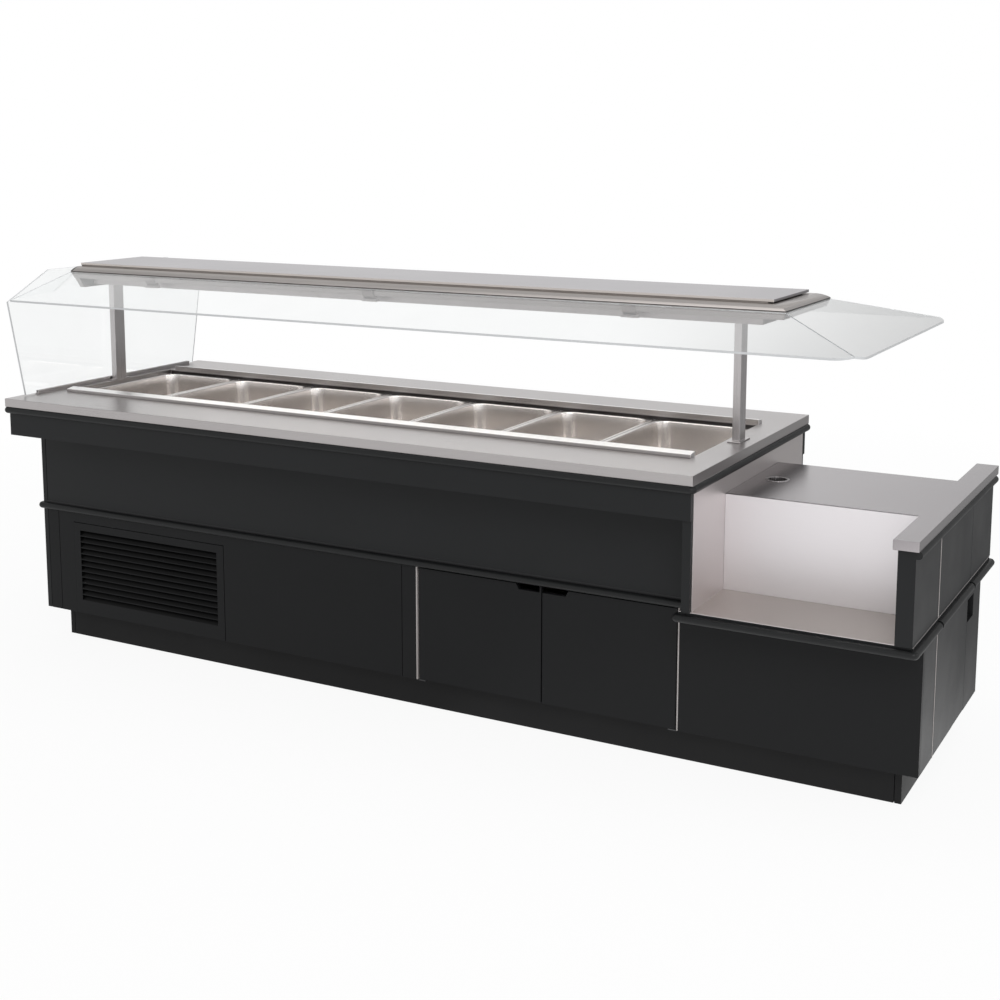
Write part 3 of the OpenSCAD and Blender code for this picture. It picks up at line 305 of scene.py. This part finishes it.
def opal(name, colour):
    """Opal diffuser sheet, softly lit from behind."""
    mat, tree, shader = new_material(name)
    vector = coordinates(tree, (1, 1, 1))
    prism = noise(tree, vector, 500, 1.0)
    cloud = noise(tree, vector, 4.0)
    tree.links.new(tint(tree, cloud, colour, 0.03), shader.inputs["Base Color"])
    shader.inputs["Roughness"].default_value = 0.5
    shader.inputs["Emission Color"].default_value = (1.0, 0.97, 0.92, 1)
    shader.inputs["Emission Strength"].default_value = 2.2
    bump(tree, shader, prism, 0.2, 0.0005)
    return mat


def lined(name):
    """The lining's brushed steel, with painted shade: its floor, like any face that looks up or down, is
    darker.
    """
    mat = brushed(name, LINING_STEEL, 0.42, "Z", 0.03)
    return second_colour(mat, facing(mat.node_tree, "Z"), FLOOR_STEEL_SHADED)


def hooded(name):
    """The hood's brushed steel, with painted shade: near black in the groove at its widest line and
    darker on the skirt below it; the cap at its left end is near black above that line.
    """
    low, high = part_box("hood_shell")
    mat = brushed(name, HOOD_STEEL, 0.3, "X")
    tree = mat.node_tree
    widest_z = high.z - 15 * MM
    cap_x = low.x + 5 * MM
    off = maths(tree, "SUBTRACT", axis_of(tree, "Object", "Z"), widest_z)
    groove = ranged(tree, maths(tree, "ABSOLUTE", off), 1.2 * MM, 0.7 * MM)
    cap = ranged(tree, axis_of(tree, "Object", "X"), cap_x + 4 * MM, cap_x)
    above = ranged(tree, off, 0.0, 1 * MM)
    dark = maths(tree, "MAXIMUM", groove, maths(tree, "MULTIPLY", cap, above))
    # painted shade: the skirt below the widest line is darker than the rest of the hood
    second_colour(mat, ranged(tree, off, 0.0, -6 * MM), SKIRT_STEEL_SHADED)
    # painted shade, near black, in the groove at the widest line; the left end cap above it is near black
    # too
    return second_colour(mat, dark, SHADE)


def topped(name):
    """The main top's brushed steel, with painted shade, near black, on the well's long folds just below
    the top.
    """
    top_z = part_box("counter_top")[1].z
    well_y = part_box("well_tank")[1].y
    mat = brushed(name, TOP_STEEL, 0.3, "X")
    tree = mat.node_tree
    under = ranged(tree, axis_of(tree, "Object", "Z"), top_z - 3.5 * MM, top_z - 5.5 * MM)
    inside = ranged(tree, maths(tree, "ABSOLUTE", axis_of(tree, "Object", "Y")),
                    well_y + 3 * MM, well_y + 1 * MM)
    # painted shade: the mask picks the well's long folds just below the top, facing across the well
    fold = maths(tree, "MULTIPLY", under, maths(tree, "MULTIPLY", inside, facing(tree, "Y")))
    return second_colour(mat, fold, WELL_FOLD_SHADE)


def edged(name, colour, rough, along, axis, edge_colour):
    """Brushed steel whose faces along an axis get a second colour, as painted light and shade."""
    mat = brushed(name, colour, rough, along)
    return second_colour(mat, facing(mat.node_tree, axis), edge_colour)


grille_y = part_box("grille_panel")[0].y
MATERIALS = {
    "laminate": laminate("laminate_dark", DARK, 0.44, 0.18),
    "laminate_low": laminate("laminate_dark_low", DARK_LOW, 0.46, 0.13),
    "grille": louvred("laminate_grille", DARK_LOW, 0.46, 0.13, grille_y, 1.6 * MM),
    "plinth": laminate("laminate_plinth", DARK_PLINTH, 0.55, 0.15),
    "white_board": laminate("board_white", WHITE_BOARD, 0.5, 0.4, 0.03),
    "ply": plywood("plywood_raw", PLY),
    "steel_x": brushed("steel_brushed_x", STEEL, 0.3, "X"),
    "steel_y": brushed("steel_brushed_y", STEEL, 0.3, "Y"),
    "steel_z": brushed("steel_brushed_z", STEEL, 0.28, "Z"),
    "top": topped("steel_top"),
    "hood": hooded("steel_hood"),
    # painted light on the top plate's front and back edge faces
    "plate": edged("steel_plate", PLATE_STEEL, 0.3, "X", "Y", PLATE_EDGE_LIT),
    "housing": brushed("steel_housing", HOUSING_STEEL, 0.35, "X"),
    "bay": brushed("steel_bay", BAY_STEEL, 0.5, "X", 0.03),
    "lining": lined("steel_lining"),
    "worktop": brushed("steel_worktop", WORKTOP_STEEL, 0.22, "Y", 0.04),
    # painted highlight on the well rails, with painted shade on their front and back faces
    "well_rail": edged("steel_rail", RAIL_STEEL_LIT, 0.3, "X", "Y", RAIL_FACE_SHADED),
    "pan": brushed("steel_pan", PAN_STEEL, 0.22, "Y", 0.03, 0.03),
    "rail": moulded("rail_black", BLACK_METAL, 0.5, 0.3),
    "bumper": moulded("bumper_black", BUMPER, 0.42, 0.22),
    "strip": moulded("strip_satin", STRIP, 0.4),
    "glass": clear_glass("glass_guard", "Z"),
    "glass_right": clear_glass("glass_guard_right", "Z"),
    "glass_end": clear_glass("glass_end", "X"),
    "opal": opal("opal_sheet", OPAL),
    "foam": foamed("foam_rigid", FOAM),
    "enamel": moulded("enamel_black", BLACK_METAL, 0.35, 0.5, 0.3),
    "fins": brushed("aluminium_fins", FIN_METAL, 0.4, "Z"),
    "copper": brushed("copper_tube", COPPER, 0.3, "Z"),
    "fan": moulded("fan_plastic", FAN_PLASTIC, 0.45, 0.4),
    "grey_plastic": moulded("control_plastic", GREY_PLASTIC, 0.5, 0.4),
}


# The CAD nodes that stay: their finish, and the radius that their edges are broken with

LAMINATE_NODES = (
    "bottom_deck end_door back_lower_panel end_lower_panels end_upper_panels apron_boards"
    " upper_body_panels bay_end_wall fin_wall module_deck"
).split()
KEPT = {name: ("laminate", 0.6) for name in LAMINATE_NODES}
KEPT.update({
    "front_lower_panels": ("laminate_low", 0.6),
    "door_left": ("laminate_low", 0.6),
    "door_right": ("laminate_low", 0.6),
    "plinth_boards": ("plinth", 0.8),
    "levelling_feet": ("steel_z", 0.6),
    "bay_boards": ("white_board", 0.5),
    "worktop_core": ("ply", 0.4),
    "grille_panel": ("grille", 0.3),
    "module_lining": ("lining", 0.4),
    "bay_back_panels": ("bay", 0.8),
    "worktop": ("worktop", 1.6),
    "counter_top": ("top", 1.6),
    "well_tank": ("steel_x", 0.6),
    "divider_bars": ("steel_y", 1.5),
    "well_rails": ("well_rail", 1.0),
    "hood_shell": ("hood", 0.5),
    "hood_top_plate": ("plate", 1.2),
    "light_housing": ("housing", 0.6),
    "guard_clamps": ("housing", 0.8),
    "post_left": ("steel_z", 1.2),
    "post_right": ("steel_z", 1.2),
    "end_channel": ("steel_y", 0.8),
    "port_ring": ("steel_z", 0.7),
    "hinge_brackets": ("enamel", 0.4),
    "fan_shroud": ("steel_z", 0.5),
    "mid_rails": ("rail", 1.0),
    "top_bumper": ("bumper", 0.4),
    "mid_bumper": ("bumper", 0.4),
    "module_bumper": ("bumper", 0.4),
    "arm_bumper": ("bumper", 0.4),
    "edge_strips": ("strip", 0.4),
    "guard_front": ("glass", 1.2),
    "guard_back": ("glass", 1.2),
    "guard_right": ("glass_right", 1.2),
    "end_glass": ("glass_end", 1.2),
    "light_diffuser": ("opal", 0.5),
    "tank_foam": ("foam", 1.0),
    "fan_motor": ("enamel", 0.6),
    "control_box": ("grey_plastic", 1.5),
    "thermostat_knob": ("fan", 0.8),
    "condenser_fan": ("fan", 0.4),
})


def smooth_edges(obj, radius):
    """Breaks an object's sharp edges so that they catch the light, and weights its normals."""
    edge = obj.modifiers.new("edge", "BEVEL")
    edge.width = radius * MM
    edge.segments = 2
    edge.limit_method = "ANGLE"
    edge.angle_limit = math.radians(CREASE_DEG)
    normal = obj.modifiers.new("normal", "WEIGHTED_NORMAL")
    normal.weight = 80


def finish_object(obj, material, radius):
    """Gives a CAD object its material and broken edges."""
    obj.data.materials.clear()
    obj.data.materials.append(MATERIALS[material])
    weld = obj.modifiers.new("weld", "WELD")
    weld.merge_threshold = WELD_GAP
    smooth_edges(obj, radius)


for node_name, (material, radius) in KEPT.items():
    finish_object(nodes[node_name], material, radius)


# Pieces made here

def add_piece(name, bm, material, body, replaced=(), smooth=True):
    """Makes a mesh a piece of the object that rides on a CAD body."""
    obj = bpy.data.objects.new(name, mesh_from(bm, name, smooth))
    bpy.context.scene.collection.objects.link(obj)
    obj.data.materials.append(MATERIALS[material])
    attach(obj, body)
    if replaced:
        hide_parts(*replaced)
    return obj


def mesh_from(bm, name, smooth):
    """A mesh with its faces turned outwards."""
    bmesh.ops.recalc_face_normals(bm, faces=bm.faces)
    mesh = bpy.data.meshes.new(name)
    bm.to_mesh(mesh)
    bm.free()
    for polygon in mesh.polygons:
        polygon.use_smooth = smooth
    return mesh


def rounded_ring(centre, half_w, half_l, radius, z, steps=8):
    """Points round a rounded rectangle at height z."""
    points = []
    for quarter, (sx, sy) in enumerate([(1, 1), (-1, 1), (-1, -1), (1, -1)]):
        for c, s in arc(90 * quarter, 90 * quarter + 90, steps):
            x = centre.x + sx * (half_w - radius) + radius * c
            y = centre.y + sy * (half_l - radius) + radius * s
            points.append(Vector((x, y, z)))
    return points


def loft(bm, rings):
    """Quads between successive rings of as many points, closed at the last; gives the rings' vertices."""
    rows = [[bm.verts.new(p) for p in ring] for ring in rings]
    for a, b in zip(rows, rows[1:]):
        for i in range(len(a)):
            j = (i + 1) % len(a)
            bm.faces.new((a[i], a[j], b[j], b[i]))
    bm.faces.new(rows[-1])
    return rows


def arc(start_deg, end_deg, steps):
    """Cosine and sine pairs along an arc."""
    for i in range(steps + 1):
        a = math.radians(start_deg + (end_deg - start_deg) * i / steps)
        yield math.cos(a), math.sin(a)


def make_pan(node):
    """A drawn pan: rolled rim, filleted mouth, slightly tapered walls and a filleted floor."""
    low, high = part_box(node)
    centre = (low + high) / 2
    half_w = (high.x - low.x) / 2
    half_l = (high.y - low.y) / 2
    rim_r = 9 * MM
    flange = 10.5 * MM
    mouth_r = 4 * MM
    floor_r = 22 * MM
    lip = 1.4 * MM
    bowl_r = 49 * MM
    taper = 4 * MM
    skin = 1.2 * MM
    floor_corner_r = 10 * MM
    wall_steps = 4
    wall_low = low.z + skin + floor_r
    wall_high = high.z - mouth_r
    rings = []

    def ring(inset, radius, z):
        rings.append(rounded_ring(centre, half_w - inset, half_l - inset, radius, z))

    for c, s in arc(-60, 90, 4):
        ring(lip - lip * c, rim_r, high.z - lip + lip * s)
    for c, s in arc(90, 0, 5):
        ring(flange - mouth_r + mouth_r * c, bowl_r, wall_high + mouth_r * s)
    for i in range(1, wall_steps + 1):
        t = i / wall_steps
        ring(flange + taper * t, bowl_r + taper * t, wall_high + (wall_low - wall_high) * t)
    for c, s in arc(0, -90, 6):
        inward = floor_r - floor_r * c
        corner = max(bowl_r + taper - inward * 0.6, floor_corner_r)
        ring(flange + taper + inward, corner, wall_low + floor_r * s)
    bm = bmesh.new()
    loft(bm, rings)
    piece = add_piece(node + "_drawn", bm, "pan", node, [node])
    solid = piece.modifiers.new("skin", "SOLIDIFY")
    solid.thickness = skin
    solid.offset = -1


for index in range(1, 8):
    make_pan(f"pan_{index}")


def add_box(bm, low, high):
    """A box between two corners, added to a mesh under construction."""
    corners = [(x, y, z) for x in (low[0], high[0]) for y in (low[1], high[1]) for z in (low[2], high[2])]
    v = [bm.verts.new(c) for c in corners]
    for face in ((0, 1, 3, 2), (4, 6, 7, 5), (0, 4, 5, 1), (2, 3, 7, 6), (0, 2, 6, 4), (1, 5, 7, 3)):
        bm.faces.new([v[i] for i in face])


def circle_points(centre, radius, z, sides):
    """Points round an upright axis."""
    turns = (2 * math.pi * k / sides for k in range(sides))
    return [Vector((centre.x + radius * math.cos(a), centre.y + radius * math.sin(a), z)) for a in turns]


def add_tube(bm, points, radius, sides=10):
    """A round tube along a path, closed at both ends."""
    rows = []
    count = len(points)
    for i, p in enumerate(points):
        ahead = points[min(i + 1, count - 1)] - points[max(i - 1, 0)]
        turn = ahead.to_track_quat("Z", "Y").to_matrix()
        ring = [p + turn @ Vector((radius * math.cos(a), radius * math.sin(a), 0))
                for a in (2 * math.pi * k / sides for k in range(sides))]
        rows.append([bm.verts.new(q) for q in ring])
    for a, b in zip(rows, rows[1:]):
        for k in range(sides):
            m = (k + 1) % sides
            bm.faces.new((a[k], a[m], b[m], b[k]))
    bm.faces.new(rows[0])
    bm.faces.new(list(reversed(rows[-1])))


def make_condenser():
    """The condenser: end plates, fins between them and tube rows with return bends."""
    low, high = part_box("condenser")
    right = high.x - 20 * MM
    tube_r = 4.5 * MM
    tube_out = 1 * MM
    plate = 2 * MM
    fin_gap = 4.5 * MM
    fin = 0.4 * MM
    inset = 1.5 * MM
    bm = bmesh.new()
    for x in (low.x, right - plate):
        add_box(bm, (x, low.y, low.z), (x + plate, high.y, high.z))
    for z in (low.z, high.z - plate):
        add_box(bm, (low.x, low.y, z), (right, high.y, z + plate))
    count = int((right - low.x - 2 * plate) / fin_gap)
    for i in range(1, count):
        x = low.x + plate + i * fin_gap
        add_box(bm, (x, low.y + inset, low.z + plate), (x + fin, high.y - inset, high.z - plate))
    add_piece("condenser_fins", bm, "fins", "counter", ["condenser"], smooth=False)
    bm = bmesh.new()
    rows = 10
    pitch = (high.z - low.z) / (rows + 1)
    bend = pitch / 2
    y = (low.y + high.y) / 2
    for i in range(1, rows + 1):
        z = low.z + i * pitch
        add_tube(bm, [Vector((low.x - tube_out, y, z)), Vector((right + tube_out, y, z))], tube_r)
        if i % 2 == 1 and i < rows:
            path = [Vector((right + bend * c, y, z + bend + bend * s)) for c, s in arc(-90, 90, 8)]
            add_tube(bm, path, tube_r)
    add_piece("condenser_tubes", bm, "copper", "counter")


def make_compressor():
    """A hermetic compressor: domed two-part shell with a weld bead, feet rails, mounts and pipes."""
    low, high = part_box("compressor")
    centre = (low + high) / 2
    radius = (high.y - low.y) / 2
    rail = 4 * MM
    foot_h = 16 * MM
    rail_half_w = 15 * MM
    base = low.z + foot_h + rail
    dome = 34 * MM
    seam_z = base + (high.z - base) * 0.52
    bead = 3 * MM
    shell_r = radius - bead
    profile = [(shell_r * (0.45 + 0.55 * c), base + dome * (1 + s)) for c, s in arc(-90, 0, 6)]
    profile += [(shell_r, seam_z - 2 * bead), (radius, seam_z - bead), (radius, seam_z + bead),
                (shell_r, seam_z + 2 * bead)]
    lid = dome * 1.4
    profile += [(shell_r * (0.3 + 0.7 * c), high.z - lid + lid * s) for c, s in arc(0, 90, 8)]
    bm = bmesh.new()
    rows = loft(bm, [circle_points(centre, r, z, 48) for r, z in profile])
    bm.faces.new(rows[0])
    shell = add_piece("compressor_shell", bm, "enamel", "counter", ["compressor"])
    bm = bmesh.new()
    for s in (-1, 1):
        y = centre.y + s * radius / 2
        add_box(bm, (low.x, y - rail_half_w, base - rail), (high.x, y + rail_half_w, base))
    rails = add_piece("compressor_rails", bm, "enamel", "counter", smooth=False)
    for piece in (shell, rails):
        smooth_edges(piece, 0.8)
    foot = [(9, 0), (14, 1), (14, 6), (10, 7.5), (10, 9), (14, 10.5), (14, 15), (9, 16)]
    bm = bmesh.new()
    for sx in (-1, 1):
        for sy in (-1, 1):
            place = centre + Vector((sx * (radius + rail_half_w), sy * radius / 2, 0))
            rows = loft(bm, [circle_points(place, r * MM, low.z + z * MM, 20) for r, z in foot])
            bm.faces.new(rows[0])
    add_piece("compressor_mounts", bm, "fan", "counter")
    start_r = radius - 6 * MM
    reach = 26 * MM
    bm = bmesh.new()
    for turn, rise, tube_r in ((35, 60, 4), (70, 48, 5)):
        a = math.radians(turn)
        outward = Vector((math.cos(a), math.sin(a), 0))
        start = Vector((centre.x, centre.y, base + 120 * MM)) + outward * start_r
        out = start + outward * reach
        lift = Vector((0, 0, MM))
        add_tube(bm, [start, start.lerp(out, 0.6), out + lift * 14, out + lift * rise], tube_r * MM, 12)
    add_piece("compressor_pipes", bm, "copper", "counter")


make_condenser()
make_compressor()


# Floor, light and camera

def seen_rays(tree):
    """1 for rays from the camera, from a mirror reflection or through glass."""
    paths = tree.nodes.new("ShaderNodeLightPath")
    value = paths.outputs["Is Camera Ray"]
    for name in ("Is Glossy Ray", "Is Transmission Ray"):
        value = maths(tree, "MAXIMUM", value, paths.outputs[name])
    return value


# What polished steel sees of the room: a direction, how wide it is, and how much lighter it is there
ROOM = (
    ((0.50, 0.86, -0.05), (0.60, 0.95), -0.62),
    ((0.0, 0.0, 1.0), (0.30, 0.95), -0.45),
    ((0.80, -0.60, 0.0), (0.60, 0.98), 0.50),
)


# Each lamp: its name, place, target, size, watts, and how strongly steel mirrors it
LAMPS = (
    ("key", (3.2, -4.6, 4.2), (0.2, 0, 0.6), (3.5, 2.5), 120, 0.3),
    ("side", (5.2, 1.2, 2.2), (1.2, 0, 0.6), (2.5, 2.5), 26, 0.3),
    ("top", (-0.4, 0.2, 4.6), (-0.3, 0, 0.6), (5.0, 2.4), 60, 0.2),
)


def room_light(tree, direction):
    """The room's brightness in a direction, as mirror reflections see it, and 1 for the eye."""
    unit = tree.nodes.new("ShaderNodeVectorMath")
    unit.operation = "NORMALIZE"
    tree.links.new(direction, unit.inputs[0])
    value = 0.0
    for axis, (low, high), change in ROOM:
        along = tree.nodes.new("ShaderNodeVectorMath")
        along.operation = "DOT_PRODUCT"
        along.inputs[1].default_value = axis
        tree.links.new(unit.outputs["Vector"], along.inputs[0])
        part = tree.nodes.new("ShaderNodeMapRange")
        part.interpolation_type = "SMOOTHSTEP"
        part.inputs["From Min"].default_value = low
        part.inputs["From Max"].default_value = high
        part.inputs["To Max"].default_value = change
        tree.links.new(along.outputs["Value"], part.inputs["Value"])
        value = maths(tree, "ADD", value, part.outputs["Result"])
    paths = tree.nodes.new("ShaderNodeLightPath")
    return maths(tree, "MULTIPLY_ADD", value, paths.outputs["Is Glossy Ray"], 1.0)


def make_floor():
    """A pale floor that stays white to the eye and keeps the counter's shadow."""
    half = 60
    bm = bmesh.new()
    corners = [(-half, -half, 0), (half, -half, 0), (half, half, 0), (-half, half, 0)]
    bm.faces.new([bm.verts.new(c) for c in corners])
    floor = bpy.data.objects.new("floor", mesh_from(bm, "floor", False))
    bpy.context.scene.collection.objects.link(floor)
    mat, tree, shader = new_material("floor_pale")
    shader.inputs["Base Color"].default_value = (0.85, 0.85, 0.85, 1)
    shader.inputs["Roughness"].default_value = 0.9
    shader.inputs["Specular IOR Level"].default_value = 0.0
    coord = tree.nodes.new("ShaderNodeTexCoord")
    glow = tree.nodes.new("ShaderNodeEmission")
    tree.links.new(room_light(tree, coord.outputs["Object"]), glow.inputs["Strength"])
    away = tree.nodes.new("ShaderNodeVectorMath")
    away.operation = "LENGTH"
    tree.links.new(coord.outputs["Object"], away.inputs[0])
    fade = ranged(tree, away.outputs["Value"], 2.2, 5.0, 0.92, 1.0)
    share = maths(tree, "MULTIPLY", seen_rays(tree), fade)
    surface = mixed(tree, share, shader.outputs["BSDF"], glow.outputs["Emission"])
    tree.links.new(surface, tree.nodes["Material Output"].inputs["Surface"])
    floor.data.materials.append(mat)


def make_world():
    """Even light from all round, with a white background to the eye."""
    world = bpy.data.worlds.new("studio")
    bpy.context.scene.world = world
    world.use_nodes = True
    tree = world.node_tree
    fill = tree.nodes["Background"]
    fill.inputs["Color"].default_value = (1, 1, 1, 1)
    fill.inputs["Strength"].default_value = 0.6
    white = tree.nodes.new("ShaderNodeBackground")
    white.inputs["Color"].default_value = (1, 1, 1, 1)
    coord = tree.nodes.new("ShaderNodeTexCoord")
    tree.links.new(room_light(tree, coord.outputs["Generated"]), white.inputs["Strength"])
    surface = mixed(tree, seen_rays(tree), fill.outputs[0], white.outputs[0])
    tree.links.new(surface, tree.nodes["World Output"].inputs["Surface"])


def add_lamp(name, place, target, size, power, mirrored):
    """A soft rectangular lamp that points at the target."""
    data = bpy.data.lights.new(name, "AREA")
    data.shape = "RECTANGLE"
    data.size, data.size_y = size
    data.energy = power
    data.specular_factor = mirrored
    lamp = bpy.data.objects.new(name, data)
    lamp.location = place
    lamp.rotation_euler = (Vector(target) - Vector(place)).to_track_quat("-Z", "Y").to_euler()
    bpy.context.scene.collection.objects.link(lamp)


def make_camera():
    """The photo's view: place and turn solved from the counter's own parallel edges."""
    frame_px = 1000
    focal_px = 1528.85
    centre_px = (487.97, 366.55)
    data = bpy.data.cameras.new("camera")
    data.sensor_width = 36
    data.lens = focal_px * data.sensor_width / frame_px
    data.shift_x = (frame_px / 2 - centre_px[0]) / frame_px
    data.shift_y = (centre_px[1] - frame_px / 2) / frame_px
    data.clip_end = 200
    camera = bpy.data.objects.new("camera", data)
    tilt_deg, turn_deg = 8.618, 28.802
    camera.location = (2.3451, -4.1672, 1.7446)
    camera.rotation_euler = (math.radians(90 - tilt_deg), 0, math.radians(turn_deg))
    bpy.context.scene.collection.objects.link(camera)
    bpy.context.scene.camera = camera


make_floor()
make_world()
for lamp in LAMPS:
    add_lamp(*lamp)
make_camera()

scene = bpy.context.scene
scene.view_settings.view_transform = "Standard"
bpy.context.view_layer.update()
